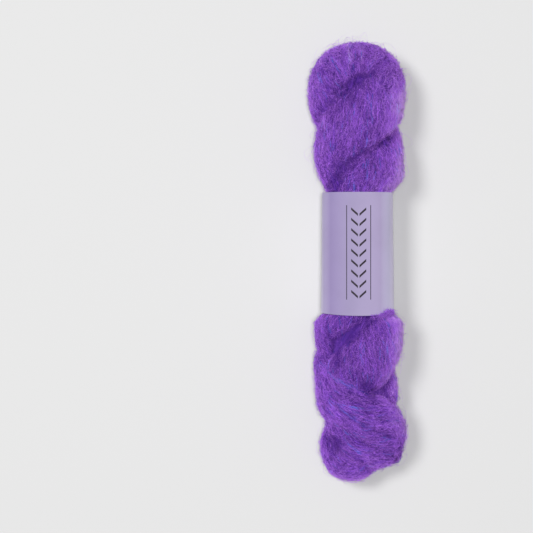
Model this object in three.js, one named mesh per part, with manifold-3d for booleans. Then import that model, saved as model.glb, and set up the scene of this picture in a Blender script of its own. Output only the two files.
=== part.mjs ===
// Twisted hank of brushed yarn with a paper band round its waist, lying on a flat surface.
// Millimetres, +Z up. The hank lies along Y with its round fold towards +Y. The origin is on
// the surface, under the middle of the hank.
import * as THREE from "three";
import { mergeVertices } from "three/addons/utils/BufferGeometryUtils.js";
import Module from "manifold-3d";

const wasm = await Module();
wasm.setup();

// The line that the two plies wind round, before the hank settles under its own weight
const SPINE = { x: 1, bottom: -100, top: 101 };

// The lay of the two plies: a ply comes to the front every two half pitches, and the other
// ply half way between. The lay tightens from FRONT_Y up to the fold.
const HALF_PITCH = 48;
const FRONT_Y = 83;

// A ply along the spine, from its end in the tail to the fold: how far its middle lies from
// the spine, and its half sizes away from the spine and along the surface
const PLY = [
  { y: -92, offset: 9.5, radial: 13, across: 16 },
  { y: -72, offset: 10.5, radial: 13.8, across: 17 },
  { y: -52, offset: 11.4, radial: 14.9, across: 18.3 },
  { y: 60, offset: 11.5, radial: 15, across: 18.5 },
  { y: 101, offset: 14.8, radial: 14.2, across: 19.5 },
];

// The round fold over the top, where one ply turns into the other: how far it sits to the
// left, how far it sways out of its plane, and how far each ply runs on inside the other, in
// radians. The yarn is packed solid inside it.
const FOLD = { shift: -1.2, sway: 5, overlap: 1.05 };
const PACKING = { x: 8, y: 110, z: 8, wide: 15, long: 11, deep: 12 };
const PLY_TIP = 14;

// How the soft hank settles: its depth is a share of its width, its middle lies this high,
// lower at both ends, and what would reach below the surface is pressed flat
const SETTLED = { depth: 0.8, middle: 19, fold: 17, tail: 14, fromFold: 60, fromTail: 70 };

// The paper band, and the narrow waist that it gives the hank
const BAND = { centre: 5.4, height: 73, halfWidth: 21.3, halfDepth: 17.4, middle: 18.9, paper: 1 };
const WAIST = { share: 0.775, aboveLeft: 21, aboveRight: 9, below: 5, inside: 3 };
const CLEAR = 0.3;

// Superellipse powers: a packed ply is fuller than an ellipse, and the band fuller still
const PLY_POWER = 2.3;
const BAND_POWER = 2.4;

// Steps along and round the bundles, and the share of a blunt tip at which its first ring lies
const PLY_STEP = 3.36;
const PLY_SIDES = 28;
const END_STEP = 3.8;
const END_SIDES = 20;
const BAND_SIDES = 56;
const FIRST_RING = 0.12;

// The tucked end: a bundle wrapped over the front, a lap below it and a loop pulled out at the
// bottom left, round a packed core, with a small tip at the bottom right. Each row is one
// section of a bundle: its middle, and its half sizes away from the spine and along the
// surface. Depths are counted from the spine, before settling.
const WRAP = [
  { x: -9, y: -53, z: -18, radial: 6, across: 11 },
  { x: -15.2, y: -61, z: -10, radial: 9, across: 14 },
  { x: -15.2, y: -71, z: 2, radial: 9.4, across: 17 },
  { x: -10, y: -80, z: 14, radial: 9.6, across: 16 },
  { x: 3, y: -88, z: 16.5, radial: 9.6, across: 14.5 },
  { x: 14, y: -95, z: 11.5, radial: 9.6, across: 15 },
  { x: 20, y: -102, z: 0, radial: 9.4, across: 15 },
  { x: 15, y: -108, z: -13, radial: 8, across: 12 },
  { x: 5, y: -110, z: -18, radial: 6, across: 8 },
];
const LAP = [
  { x: -12, y: -88, z: -4, radial: 6, across: 8 },
  { x: -10.5, y: -96, z: 3, radial: 7, across: 9.5 },
  { x: -4, y: -103, z: 9, radial: 9, across: 11 },
  { x: 5, y: -109, z: 8, radial: 10, across: 12 },
  { x: 15.5, y: -111, z: 3, radial: 9.4, across: 11 },
  { x: 21.5, y: -107, z: -5, radial: 7, across: 8 },
];
const LOOP = [
  { x: -9, y: -98, z: -6, radial: 6, across: 7 },
  { x: -13, y: -105, z: -1, radial: 7.8, across: 9 },
  { x: -12.6, y: -113, z: 2, radial: 8.6, across: 10 },
  { x: -8.4, y: -119, z: 2, radial: 9, across: 10.5 },
  { x: -1.6, y: -120.8, z: 1, radial: 8.4, across: 10 },
  { x: 5, y: -118, z: 0, radial: 8, across: 9 },
  { x: 12, y: -111, z: -3, radial: 7, across: 8 },
];
const CORE = { x: 2, y: -92, z: -3, wide: 20, long: 24, deep: 17 };
const TIP = { x: 21.6, y: -113, z: -4, wide: 5.6, long: 5.6, deep: 5.6 };
const END_TIP = 6;

// A smooth step from 0 at a to 1 at b
const ease = (value, a, b) => {
  const t = THREE.MathUtils.clamp((value - a) / (b - a), 0, 1);
  return t * t * (3 - 2 * t);
};

// The share of its width that the hank keeps at a point. Above the band the yarn swells out
// sooner on the right than on the left.
function waist({ x, y }) {
  const top = BAND.centre + BAND.height / 2;
  const bottom = BAND.centre - BAND.height / 2;
  const rightward = ease(x - SPINE.x, -BAND.halfWidth, BAND.halfWidth);
  const above = THREE.MathUtils.lerp(WAIST.aboveLeft, WAIST.aboveRight, rightward);
  const squeezed = ease(y, bottom - WAIST.below, bottom + WAIST.inside)
    * (1 - ease(y, top - WAIST.inside, top + above));
  return 1 - (1 - WAIST.share) * squeezed;
}

// Squeezes a point into the waist, flattens it, and lowers it to where the hank settles
function settle(point) {
  const keep = waist(point);
  const foldward = ease(point.y, SPINE.top - SETTLED.fromFold, SPINE.top);
  const tailward = 1 - ease(point.y, SPINE.bottom, SPINE.bottom + SETTLED.fromTail);
  const middle = SETTLED.middle + (SETTLED.fold - SETTLED.middle) * foldward
    + (SETTLED.tail - SETTLED.middle) * tailward;
  point.x = SPINE.x + (point.x - SPINE.x) * keep;
  point.z = middle + point.z * keep * SETTLED.depth;
  return point;
}

// The direction away from the spine at a place along it
function outwardOf(centre) {
  const y = THREE.MathUtils.clamp(centre.y, SPINE.bottom, SPINE.top);
  return centre.clone().sub(new THREE.Vector3(SPINE.x, y, 0)).normalize();
}

// A manifold solid from a closed geometry
function solidOf(geometry) {
  geometry.deleteAttribute("normal");
  geometry.deleteAttribute("uv");
  const merged = mergeVertices(geometry, 1e-4);
  const made = new wasm.Mesh({
    numProp: 3,
    vertProperties: merged.attributes.position.array,
    triVerts: new Uint32Array(merged.index.array),
  });
  return new wasm.Manifold(made);
}

// Half the width of a superellipse of half width 1 in the direction of an angle
const fullness = (angle, power) =>
  (Math.abs(Math.cos(angle)) ** power + Math.abs(Math.sin(angle)) ** power) ** (-1 / power);

// A bundle of yarn: sections of the given half sizes, carried along their centres, with round
// tips as long as bluntAt. It is a lathe with a ring for each section, laid in its own place.
function bundle(sections, sides, bluntAt) {
  const last = sections.length - 1;
  const run = [0];
  for (let i = 1; i <= last; i += 1) {
    run.push(run[i - 1] + sections[i].centre.distanceTo(sections[i - 1].centre));
  }
  const swell = run.map((s) => {
    const share = Math.min(s, run[last] - s) / bluntAt + FIRST_RING;
    return share >= 1 ? 1 : Math.sqrt(1 - (1 - share) ** 2);
  });
  const profile = swell.map((r, i) => new THREE.Vector2(r, i));
  profile.unshift(new THREE.Vector2(0, 0));
  profile.push(new THREE.Vector2(0, last));
  const geometry = new THREE.LatheGeometry(profile, sides);
  const points = geometry.attributes.position;
  const point = new THREE.Vector3();
  const frames = sections.map(({ centre }, i) => {
    const along = sections[Math.min(i + 1, last)].centre.clone()
      .sub(sections[Math.max(i - 1, 0)].centre).normalize();
    const outward = outwardOf(centre);
    outward.addScaledVector(along, -outward.dot(along)).normalize();
    return { outward, across: along.clone().cross(outward) };
  });
  for (let k = 0; k < points.count; k += 1) {
    point.fromBufferAttribute(points, k);
    const i = Math.round(point.y);
    const angle = Math.atan2(point.x, point.z);
    const reach = Math.hypot(point.x, point.z) * fullness(angle, PLY_POWER);
    const { centre, radial, across } = sections[i];
    point.copy(centre)
      .addScaledVector(frames[i].outward, reach * radial * Math.cos(angle))
      .addScaledVector(frames[i].across, reach * across * Math.sin(angle));
    settle(point);
    points.setXYZ(k, point.x, point.y, point.z);
  }
  return solidOf(geometry);
}

// The turn of the first ply round the spine, 0 where it is in front
function turnAt(y) {
  const rise = y - FRONT_Y;
  const turn = (Math.PI * rise) / HALF_PITCH;
  if (rise <= 0) return turn;
  const span = SPINE.top - FRONT_Y;
  return turn + (Math.PI / 2 - (Math.PI * span) / HALF_PITCH) * (rise / span) ** 2;
}

// A ply's offset and half sizes at a place along the spine
function plyAt(y) {
  const next = Math.max(1, PLY.findIndex((row) => row.y >= y));
  const [low, high] = [PLY[next - 1], PLY[next]];
  const share = ease(y, low.y, high.y);
  const between = (column) => THREE.MathUtils.lerp(low[column], high[column], share);
  return { offset: between("offset"), radial: between("radial"), across: between("across") };
}

// The sections of one ply, from its end in the tail up over the fold and on inside the other.
// side is +1 for the ply that comes down on the right of the fold and -1 for the other.
function plySections(side) {
  const sections = [];
  const tail = PLY[0].y;
  const rows = Math.round((SPINE.top - tail) / PLY_STEP);
  for (let i = 0; i < rows; i += 1) {
    const y = tail + ((SPINE.top - tail) * i) / rows;
    const turn = turnAt(y) + (side < 0 ? Math.PI : 0);
    const { offset, radial, across } = plyAt(y);
    const centre = new THREE.Vector3(offset * Math.sin(turn), y, offset * Math.cos(turn));
    centre.x += SPINE.x + FOLD.shift * ease(y, SPINE.top - HALF_PITCH, SPINE.top);
    sections.push({ centre, radial, across });
  }
  const { offset, radial, across } = plyAt(SPINE.top);
  const bend = Math.PI / 2 + FOLD.overlap;
  const steps = Math.round((offset * bend) / PLY_STEP);
  for (let i = 0; i <= steps; i += 1) {
    const lean = side * (Math.PI / 2 - (bend * i) / steps);
    const centre = new THREE.Vector3(
      SPINE.x + FOLD.shift + offset * Math.sin(lean),
      SPINE.top + offset * Math.cos(lean),
      -FOLD.sway * Math.sin(2 * lean),
    );
    sections.push({ centre, radial, across });
  }
  return sections;
}

// The sections of a bundle of the tucked end, evenly spaced on a smooth curve through its rows
function endSections(rows) {
  const curve = new THREE.CatmullRomCurve3(rows.map((r) => new THREE.Vector3(r.x, r.y, r.z)));
  const sizes = new THREE.CatmullRomCurve3(
    rows.map((r) => new THREE.Vector3(r.radial, r.across, 0)),
  );
  const count = Math.round(curve.getLength() / END_STEP);
  return Array.from({ length: count + 1 }, (_, i) => {
    const size = sizes.getPoint(i / count);
    return { centre: curve.getPoint(i / count), radial: size.x, across: size.y };
  });
}

// A plain rounded lump of yarn
function lump({ x, y, z, wide, long, deep }) {
  const geometry = new THREE.SphereGeometry(1, END_SIDES, END_SIDES / 2);
  geometry.scale(wide, long, deep).translate(x, y, z);
  const points = geometry.attributes.position;
  const point = new THREE.Vector3();
  for (let k = 0; k < points.count; k += 1) {
    settle(point.fromBufferAttribute(points, k));
    points.setXYZ(k, point.x, point.y, point.z);
  }
  return solidOf(geometry);
}

// The band's outline, grown outwards by some distance
function bandOutline(grown) {
  return Array.from({ length: BAND_SIDES }, (_, i) => {
    const angle = (2 * Math.PI * i) / BAND_SIDES;
    const reach = fullness(angle, BAND_POWER);
    return new THREE.Vector2(
      (BAND.halfWidth + grown) * reach * Math.cos(angle),
      (BAND.halfDepth + grown) * reach * Math.sin(angle),
    );
  });
}

// A tube of the band's section along Y, between two distances from its outer face
function sleeve(outer, inner, height) {
  const shape = new THREE.Shape(bandOutline(outer));
  shape.holes.push(new THREE.Path(bandOutline(inner)));
  const geometry = new THREE.ExtrudeGeometry(shape, { depth: height, bevelEnabled: false });
  geometry.rotateX(Math.PI / 2).translate(SPINE.x, BAND.centre + height / 2, BAND.middle);
  return geometry;
}

// The main body of a join, without the specks that are left where two faces graze
function mainBody(solid) {
  return solid.decompose().reduce((most, body) => (body.volume() > most.volume() ? body : most));
}

function makeHank() {
  const parts = [
    bundle(plySections(1), PLY_SIDES, PLY_TIP),
    bundle(plySections(-1), PLY_SIDES, PLY_TIP),
    bundle(endSections(WRAP), END_SIDES, END_TIP),
    bundle(endSections(LAP), END_SIDES, END_TIP),
    bundle(endSections(LOOP), END_SIDES, END_TIP),
    lump(PACKING),
    lump(CORE),
    lump(TIP),
  ];
  const whole = parts.reduce((sum, part) => sum.add(part));
  const reach = 2 * (SPINE.top - SPINE.bottom);
  const under = new THREE.BoxGeometry(reach, reach, reach).translate(0, 0, -reach / 2);
  const around = sleeve(BAND.halfWidth, -BAND.paper - CLEAR, BAND.height + 2 * CLEAR);
  return mainBody(whole.subtract(solidOf(under)).subtract(solidOf(around)));
}

// A mesh from a manifold solid
function meshOf(name, solid, material) {
  const { vertProperties, triVerts } = solid.getMesh();
  const geometry = new THREE.BufferGeometry();
  geometry.setAttribute("position", new THREE.BufferAttribute(vertProperties, 3));
  geometry.setIndex(new THREE.BufferAttribute(triVerts, 1));
  geometry.computeVertexNormals();
  const mesh = new THREE.Mesh(geometry, material);
  mesh.name = name;
  return mesh;
}

const yarn = new THREE.MeshStandardMaterial({ color: 0x7449b0, roughness: 0.95, metalness: 0 });
const paper = new THREE.MeshStandardMaterial({ color: 0xa99dc4, roughness: 0.6, metalness: 0 });

const hank = new THREE.Group();
hank.add(meshOf("hank", makeHank(), yarn));
hank.add(meshOf("band", solidOf(sleeve(0, -BAND.paper, BAND.height)), paper));

// The origin goes under the middle of the whole
const box = new THREE.Box3().setFromObject(hank);
const middle = box.getCenter(new THREE.Vector3());
hank.position.set(-middle.x, -middle.y, -box.min.z);

export default hank;
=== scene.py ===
"""Looks of a twisted hank of brushed yarn with a paper band round its waist.

The hank is a bundle of yarn folded over at the top and laid in two plies, with its other end
tucked in. Every bundle but the tip has the sections of its solid. Its body, its strands, the
brushed fibres that stand on them and the stray hairs are surfaces worked out from two numbers
on that bundle: s, the way along it, and v, the angle round it. Sizes are in millimetres until
a mesh is made.
"""

import math

import bpy
import numpy as np
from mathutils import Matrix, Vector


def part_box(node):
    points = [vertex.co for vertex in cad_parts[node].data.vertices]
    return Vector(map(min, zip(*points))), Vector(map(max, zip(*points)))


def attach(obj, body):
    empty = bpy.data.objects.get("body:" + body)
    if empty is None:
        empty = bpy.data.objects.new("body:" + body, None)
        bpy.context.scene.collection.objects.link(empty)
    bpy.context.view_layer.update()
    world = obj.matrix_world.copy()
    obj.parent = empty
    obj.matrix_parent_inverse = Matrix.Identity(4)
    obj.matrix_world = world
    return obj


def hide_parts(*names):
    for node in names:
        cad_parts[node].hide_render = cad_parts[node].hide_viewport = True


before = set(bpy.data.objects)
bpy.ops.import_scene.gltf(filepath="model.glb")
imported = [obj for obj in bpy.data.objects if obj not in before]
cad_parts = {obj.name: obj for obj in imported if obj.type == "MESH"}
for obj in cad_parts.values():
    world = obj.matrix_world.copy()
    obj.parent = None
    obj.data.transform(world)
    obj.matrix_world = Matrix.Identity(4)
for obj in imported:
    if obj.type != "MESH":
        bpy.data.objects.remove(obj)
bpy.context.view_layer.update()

MM = 0.001
DRAW = np.random.default_rng(7)


def table(columns, rows):
    """A short table as a dictionary from column name to an array."""
    return dict(zip(columns.split(), np.array(rows, float).T))


# The hank's line, lay and sections, in the part's own millimetres
SPINE_X, SPINE_BOTTOM, SPINE_TOP = 1.0, -100.0, 101.0
HALF_PITCH, FRONT_Y = 48.0, 83.0
PLY = table("y offset radial across", [
    (-92, 9.5, 13, 16),
    (-72, 10.5, 13.8, 17),
    (-52, 11.4, 14.9, 18.3),
    (60, 11.5, 15, 18.5),
    (101, 14.8, 14.2, 19.5),
])
FOLD_SHIFT, FOLD_SWAY, FOLD_OVERLAP = -1.2, 5.0, 1.05
DEPTH_SHARE, MIDDLE, FOLD_MIDDLE, TAIL_MIDDLE = 0.8, 19.0, 17.0, 14.0
FROM_FOLD, FROM_TAIL = 60.0, 70.0
BAND_Y, BAND_TALL, BAND_HALF_WIDE, BAND_HALF_DEEP, BAND_Z = 5.4, 73.0, 21.3, 17.4, 18.9
BAND_X, PAPER = SPINE_X - 0.45, 0.35
WAIST, ABOVE_LEFT, ABOVE_RIGHT, BELOW, INSIDE = 0.775, 21.0, 9.0, 5.0, 3.0
PLY_POWER, BAND_POWER = 2.3, 2.4
BAND_TOP, BAND_BOTTOM = BAND_Y + BAND_TALL / 2, BAND_Y - BAND_TALL / 2

# The paper's edges: the lower one's bow, its rise at the right-hand corner with the stretch of x
# that this takes, how far the yarn spills over it, and how much lower the upper one is
EDGE_BOW, CORNER_RISE, CORNER_X, TOP_TRIM = 1.3, 1.6, (12, 19), 0.8
SPILL, SPILL_X = 1.6, (10, 16)

# The yarn is tucked TUCKED inside the paper's face and comes free of it as the square of the
# distance from the edge. It is pressed flat at PRESS_Z over the surface.
TUCKED, TUCK_FREE = 4 * PAPER, 0.3
PRESS_Z, PRESS_SOFT = 0.2, 0.7

# The lay of the yarn seen from above, in degrees anticlockwise. On the fold it fans out from
# the way along the hank, by x. On the wrap and the lap it slopes down from left to right, by
# x, and is nearly level in a belt at BELT_Y. Low on the right ply it leans by LEAN_LOW.
FOLD_LAY = table("x turn", [
    (-26, 42), (-15, 42), (-9, 28), (-4, 5), (1, -12), (6, -30), (14, -50), (23, -72),
])
WRAP_LAY = table("x turn", [(-24, -54), (-15, -47), (-6, -38), (3, -24), (13, -6), (20, 0)])
BELT_Y, BELT_WIDE, BELT_TURN, BELT_X = -82.0, 6.0, 18.0, (-16, -8)
LEAN_LOW, LEAN_X, LEAN_Y = 20.0, (-2, 10), (28, 40)
FOLD_FROM = dict(left_ply=(74, 86), right_ply=(104, 114), packing=(104, 114), core=(104, 114))

# Slow waves of the lay: each turns it by turn sin(by_x x + by_y y + start), in degrees
LAY_WAVES = table("turn by_x by_y start", [(9, 0.13, 0.061, 1), (5, -0.19, 0.11, 2)])

# The tucked end, a row for each section of a bundle. lay is the yarn's turn from the way the
# bundle runs, in degrees.
WRAP = table("x y z radial across lay", [
    (-9, -53, -18, 6, 11, 0),
    (-15.2, -61, -10, 9, 14, 0),
    (-15.2, -71, 2, 9.4, 17, 10),
    (-10, -80, 14, 9.6, 16, 14),
    (3, -88, 16.5, 9.6, 14.5, 22),
    (14, -95, 11.5, 9.6, 15, 15),
    (20, -102, 0, 9.4, 15, 0),
    (15, -108, -13, 8, 12, 0),
    (5, -110, -18, 6, 8, 0),
])
LAP = table("x y z radial across lay", [
    (-12, -88, -4, 6, 8, 0),
    (-10.5, -96, 3, 7, 9.5, 0),
    (-4, -103, 9, 9, 11, 5),
    (5, -109, 8, 10, 12, 10),
    (15.5, -111, 3, 9.4, 11, 10),
    (21.5, -107, -5, 7, 8, 0),
])
LOOP = table("x y z radial across lay", [
    (-9, -98, -6, 6, 7, 0),
    (-13, -105, -1, 7.8, 9, 0),
    (-12.6, -113, 2, 8.6, 10, 10),
    (-8.4, -119, 2, 9, 10.5, 20),
    (-1.6, -120.8, 1, 8.4, 10, 20),
    (5, -118, 0, 8, 9, 10),
    (12, -111, -3, 7, 8, 0),
])
TIP = table("x y z radial across lay", [
    (17, -104, -8, 5, 5, 0),
    (21, -110, -5, 5.4, 5.6, 0),
    (22, -115, -4, 4.6, 5, 0),
    (18, -117, -5, 3, 4, 0),
])
PLY_TIP, END_TIP, FIRST_RING = 14.0, 6.0, 0.12

# Hollows and furrows of the front, where the hairs sink and are painted darker as painted shade,
# and a few ridges where dark is below 0, which rise and are painted lighter as a painted
# highlight:
# straight lines seen from above, each with the distance at which it has faded and its depth of
# tone
HOLLOWS = table("x0 y0 x1 y1 wide dark", [
    (-8.6, 124.2, -8, 114.8, 1.2, 0.12), (-5.6, 127.7, -3.8, 117.1, 1.2, -0.16),
    (-0.3, 121.8, -2.7, 111.2, 1.5, 0.18), (3.2, 125.4, 2.1, 118.3, 1.2, -0.16),
    (7.4, 125.4, 3.8, 113.6, 1.8, 0.16), (17.4, 119.5, 8.9, 110.4, 1.8, 0.12),
    (-21.5, 113.6, -20.9, 110, 1.5, 0.12), (-2.7, 104.1, 0.9, 107.7, 2.4, 0.30),
    (-11.5, 100.6, -3.8, 104.7, 2.1, 0.28), (2.7, 109.4, 9.1, 110.6, 2.4, 0.12),
    (-17.4, 100.6, -15.6, 88.8, 3.5, 0.16), (-9.1, 56.3, -12.1, 49.9, 2.9, 0.45),
    (-13.9, 47.5, -15, 44, 1.8, 0.15), (-12.7, 66.4, -9.7, 58.7, 3.5, 0.10),
    (-6.8, -45.7, -0.9, -40.4, 2.9, 0.50), (-13.3, -46.9, -12.7, -58.7, 2.4, 0.55),
    (-12.1, -58.7, -10.3, -63.4, 2.4, 0.20), (-18.6, -35.1, -18, -44.5, 1.2, 0.22),
    (-19.2, -46.3, -18.6, -51, 1.2, 0.18), (-20.4, -67, -8.6, -76.4, 1.1, 0.14),
    (-12.7, -64.6, -3.8, -72.3, 0.9, 0.10), (-18, -78.2, -12.1, -83.5, 1.2, 0.16),
    (-10.9, -84.1, -2.7, -82.9, 1.2, 0.10), (-1.5, -81.7, 10.3, -84.1, 0.9, 0.14),
    (0.3, -87, 8, -88.2, 0.9, 0.24), (8, -88.2, 16.2, -87, 0.9, 0.24),
    (-2.7, -91.7, 9.1, -97.6, 1.2, 0.16), (9.1, -97.6, 20.9, -102.4, 1.2, 0.18),
    (12.7, -93.5, 19.8, -92.3, 0.9, 0.18), (9.1, -71.7, 10.3, -77.6, 2.4, 0.38),
    (13.3, -74, 16.2, -70.5, 1.2, 0.36), (16.2, -70.5, 19.8, -69.9, 1.2, 0.36),
    (16.2, -73.5, 18, -77.6, 0.9, 0.42), (18, -77.6, 19.8, -81.7, 0.9, 0.42),
    (21.5, -71.1, 21.5, -81.1, 1.2, -0.20), (-13.3, -104.7, -10.9, -109.4, 2.4, 0.75),
    (-6.2, -111.8, 5, -120.1, 1.6, 0.38), (18.6, -111.8, 18.6, -114.8, 1.8, 0.18),
    (8, -110, 15, -109.4, 1.2, 0.12), (26.3, -104.7, 26.3, -111.8, 0.9, 0.18),
    (-2.7, -103.5, 10.9, -108.3, 1.2, 0.10), (-6.8, -99, 22.5, -107.5, 8, 0.08),
    (20.4, 73.4, 13.3, 69.6, 0.9, 0.60), (13.3, 69.6, 5.6, 64.9, 0.9, 0.80),
    (5.6, 64.9, -3.2, 59.2, 1.1, 0.80), (-3.2, 59.2, -9.7, 53.4, 1.3, 0.45),
    (10.3, -32.7, 3.2, -38.1, 1.3, 0.28), (-0.3, -39.8, -7.4, -46.3, 1.3, 0.30),
    (-13.9, -46.9, -13.3, -56.3, 1.2, 0.25), (-1.5, -82.6, 9.1, -85.8, 0.7, 0.22),
    (-18, -71.1, -9.7, -78.8, 0.7, 0.16), (-9.1, -95.3, -2.7, -98.8, 0.7, 0.14),
])

# Where the blue thread that is spun in with the yarn comes out of the fluff: lines seen from above
THREADS = table("x0 y0 x1 y1", [
    (-18.6, -61.1, -13.9, -66.4), (-13.9, -66.4, -7.4, -71.1), (-10.3, -69.3, -6.2, -71.7),
    (-3.8, -68.1, 0.3, -71.1), (-14.5, -82, -3.8, -84.1), (-3.8, -84.1, 3.2, -86.1),
    (-13.3, -85.5, -11.5, -87), (-8, -87, -0.9, -90.9), (-2.7, -90.9, 6.2, -95.9),
    (-5, -101.2, 1.5, -101.5), (-5.6, -105.9, 0.9, -112.1), (-3.8, -106.5, 3.8, -112.4),
    (9.7, -100.3, 17.4, -104.7), (0.6, -51, 3.8, -55.5), (15.6, -48.1, 18.3, -52.8),
    (2.1, -59.3, 3.2, -63.4), (8.6, -57.5, 9.4, -63.4), (15.6, -35.1, 19.8, -38.6),
    (6.8, 91.7, 8.6, 84.1), (-2.7, 91.7, -2.1, 88.2), (5, 78.2, 5.6, 69.3),
    (-16.2, 68.1, -15, 62.2), (3.8, 59.3, 6.8, 51.6), (9.4, 54.6, 10.3, 46.9),
    (-2.7, 50.4, -2.1, 42.8), (22.7, 91.2, 23.6, 85.3), (-13.9, 118.3, -13.3, 113.6),
])
THREADS.update(wide=np.full(27, 0.5), dark=np.ones(27))

# Where a crease between two bundles is filled up with fluff and its painted shade taken away: a
# middle and half sizes
FILLED = table("x y wide long", [
    (-17, 85, 9, 16), (13, 114, 8, 9), (25, 78, 6, 6), (-20, -55, 5, 8), (17, -72, 7, 6),
    (-7, 52, 6, 5), (1, 59, 7, 5), (9, 66, 6, 5),
])

# Round masses of yarn that fill the fold's inner bend and the tail: a middle, and half sizes
PACKING = dict(x=8, y=110, z=8, wide=15, long=11, deep=12)
CORE = dict(x=2, y=-92, z=-3, wide=20, long=24, deep=17)

# A bundle's maps: the steps along it and round it, what stands for far away, the slant over which
# two skins come to count as a crease, how far a filled one is moved off, and how wide and high
# the lap and the loop are bridged with fluff
MAP_STEP, MAP_TURNS, FAR_AWAY = 1.5, 60, 30.0
SLANT, FILL = (0.05, 0.45), 4.5
BRIDGE_WIDE, BRIDGE_HIGH = 2.6, 0.7

# How far under the bundles' skins the body lies, and the coat of hairs where the radial half
# size is THICK, down to nothing at THIN, with the share less on the right and more on the left
BODY_SUNK, COAT_SUNK, SUNK_SLANT = 3.2, 1.0, 0.45
THIN, THICK = 4, 9

# Hairs by the clump: how much they differ in place, turn and height, how far a strand's tone
# and height go with it, and how much more that is on the combed bundles
CLUMP_ALONG, CLUMP_ROUND, CLUMP_TURN, CLUMP_HIGH = 0.3, 0.02, 0.2, 0.3
STRAND_RUN, STRAND_LIGHT, STRAND_HIGH = 11.0, 0.06, 0.2
COMBED, COMBED_MORE = ("wrap", "lap", "loop"), 1.3

# Creases and hollows: how deep the hairs sink and how dark they are painted as painted shade, over
# what distance and how unevenly, and the share of the hairs that lie across a crease, with how
# far those sink. Then the painted shade of the wider valley round a crease and its distance, how
# deep the hollows sink, and how strongly the painted shade darkens the tone
CREASE_SINK, CREASE_PAINTED_SHADE, CREASE_WIDE, CREASE_SPREAD = 2.4, 0.5, 1.6, (0.5, 1.5)
BRIDGING, BRIDGING_SINK = 0.12, 0.2
VALLEY_PAINTED_SHADE, VALLEY_WIDE = 0.22, 6.0
HOLLOW_SINK, PAINTED_SHADE_SCALE = 1.6, 2.2

# Painted light: the painted light added to the tone for each millimetre of height, the painted rim
# light added on the steep rim, and the painted glow, as of light through thin fluff, that the
# right-hand and tail sides go over to, with the ranges of the normal over which they come in.
# FAR_DEEP is the distance from the next bundle by which that glow has mostly come.
PAINTED_RISE_LIGHT, MOST_TONE = 0.22, 1.15
RIM_LIGHT, RIM = 0.25, (0.5, 0.95)
PAINTED_GLOW_TONE, TILT, FAR_X, FAR_Y, FAR_DEEP = 1.6, (0.4, 1.02), (-0.1, 0.6), (0.5, 1), 7

# The fluff over the paper's corner
SPILT_X, SPILT_WIDE, SPILT_ROUND = 16.5, 3.5, 20.0
SPILT_ANGLE, SPILT_LONG, SPILT_UNDER = (0.35, 1.25), (0.8, 3.0), 3.0

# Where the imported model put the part's own origin
BAND_LOW, BAND_HIGH = (np.array(corner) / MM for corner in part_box("band"))
SHIFT = np.array([
    (BAND_LOW[0] + BAND_HIGH[0]) / 2 - SPINE_X,
    (BAND_LOW[1] + BAND_HIGH[1]) / 2 - BAND_Y,
    0.0,
])


def ease(value, a, b):
    """A smooth step from 0 at a to 1 at b: 3t squared minus 2t cubed."""
    t = np.clip((value - a) / (b - a), 0, 1)
    return t * t * (3 - 2 * t)


def unit(vectors):
    """Vectors of length 1 along the last axis."""
    return vectors / np.maximum(np.linalg.norm(vectors, axis=-1, keepdims=True), 1e-9)


def dot(a, b):
    """The dot product along the last axis, kept as an axis."""
    return (a * b).sum(-1, keepdims=True)


def fullness(angle, power):
    """Half the width of a superellipse of half width 1, in the direction of an angle."""
    return (np.abs(np.cos(angle)) ** power + np.abs(np.sin(angle)) ** power) ** (-1 / power)


def paper_edges(x):
    """The band's lower and upper edge at x: the upper one is straight, and the lower one is
    bowed and gives way to the yarn at its right-hand corner."""
    bow = EDGE_BOW * ((x - SPINE_X) / BAND_HALF_WIDE) ** 2
    return BAND_BOTTOM + bow + CORNER_RISE * ease(x, *CORNER_X), BAND_TOP - TOP_TRIM + 0 * x


def yarn_edges(x):
    """Where the yarn comes free of the band: at its edges, but over its right-hand corner."""
    low, high = paper_edges(x)
    return low + SPILL * ease(x, *SPILL_X), high


def settle(raw):
    """Where a point of the loose hank lies once it has settled.

    It is squeezed towards the spine at the waist, its depth becomes a share of its width, the
    hank's middle sinks towards both ends, and what would reach the surface is pressed flat.
    Close to the band it is tucked inside the paper.
    """
    x, y, z = np.moveaxis(raw, -1, 0)
    rightward = ease(x - SPINE_X, -BAND_HALF_WIDE, BAND_HALF_WIDE)
    above = ABOVE_LEFT + (ABOVE_RIGHT - ABOVE_LEFT) * rightward
    squeezed = ease(y, BAND_BOTTOM - BELOW, BAND_BOTTOM + INSIDE)
    squeezed = squeezed * (1 - ease(y, BAND_TOP - INSIDE, BAND_TOP + above))
    keep = 1 - (1 - WAIST) * squeezed
    middle = MIDDLE + (FOLD_MIDDLE - MIDDLE) * ease(y, SPINE_TOP - FROM_FOLD, SPINE_TOP)
    tailward = 1 - ease(y, SPINE_BOTTOM, SPINE_BOTTOM + FROM_TAIL)
    middle = middle + (TAIL_MIDDLE - MIDDLE) * tailward
    x = SPINE_X + (x - SPINE_X) * keep
    z = middle + z * keep * DEPTH_SHARE
    low, high = yarn_edges(x)
    outside = np.maximum(np.maximum(low - y, y - high), 0)
    wide = BAND_HALF_WIDE - TUCKED
    deep = BAND_HALF_DEEP - TUCKED
    reach = (np.abs((x - SPINE_X) / wide) ** BAND_POWER
             + np.abs((z - BAND_Z) / deep) ** BAND_POWER) ** (1 / BAND_POWER)
    most = 1 + TUCK_FREE * outside ** 2
    tuck = np.where(reach > most, most / np.maximum(reach, 1e-6), 1)
    x = SPINE_X + (x - SPINE_X) * tuck
    z = BAND_Z + (z - BAND_Z) * tuck
    z = PRESS_Z + PRESS_SOFT * np.logaddexp(0, (z - PRESS_Z) / PRESS_SOFT)
    return np.stack([x, y, z], -1)


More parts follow.
